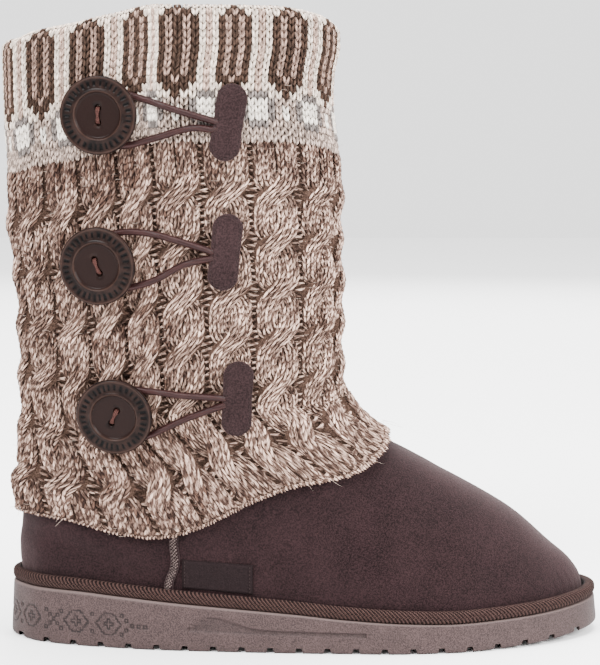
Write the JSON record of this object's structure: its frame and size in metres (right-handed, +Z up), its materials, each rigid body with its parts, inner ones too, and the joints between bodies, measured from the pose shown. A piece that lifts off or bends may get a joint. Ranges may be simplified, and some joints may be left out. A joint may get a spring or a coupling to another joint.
{
  "type": "mukluk boot",
  "caption": "Pull-on winter boot with a suede upper, a cable-knitted sleeve closed by buttoned loops, and a wedge sole.",
  "frame": {"origin": "on the floor under the middle of the boot's box", "axes": "+X towards the toe, +Y towards the inner side of the foot, +Z up"},
  "size_m": [0.2808, 0.1097, 0.2931],
  "materials": {
    "suede": "napped suede, dark brown",
    "sole": "moulded foam rubber, matt",
    "tape": "diagonal woven tape",
    "knit": "cable knit in two-coloured yarn with a patterned band",
    "button": "half gloss, dark brown",
    "cord": "braided elastic",
    "thread": "sewing thread",
    "fleece": "short fleece"
  },
  "bodies": {
    "root": {"outsole": "sole", "foxing_tape": "tape", "insole": "fleece", "upper": "suede", "seam_outer": "suede", "seam_inner": "suede", "side_label": "suede", "knit_sleeve": "knit", "button_1": "button", "button_2": "button", "button_3": "button", "button_thread_1": "thread", "button_thread_2": "thread", "button_thread_3": "thread", "loop_1": "cord", "loop_2": "cord", "loop_3": "cord", "tab_1": "suede", "tab_2": "suede", "tab_3": "suede"}
  },
  "joints": []
}
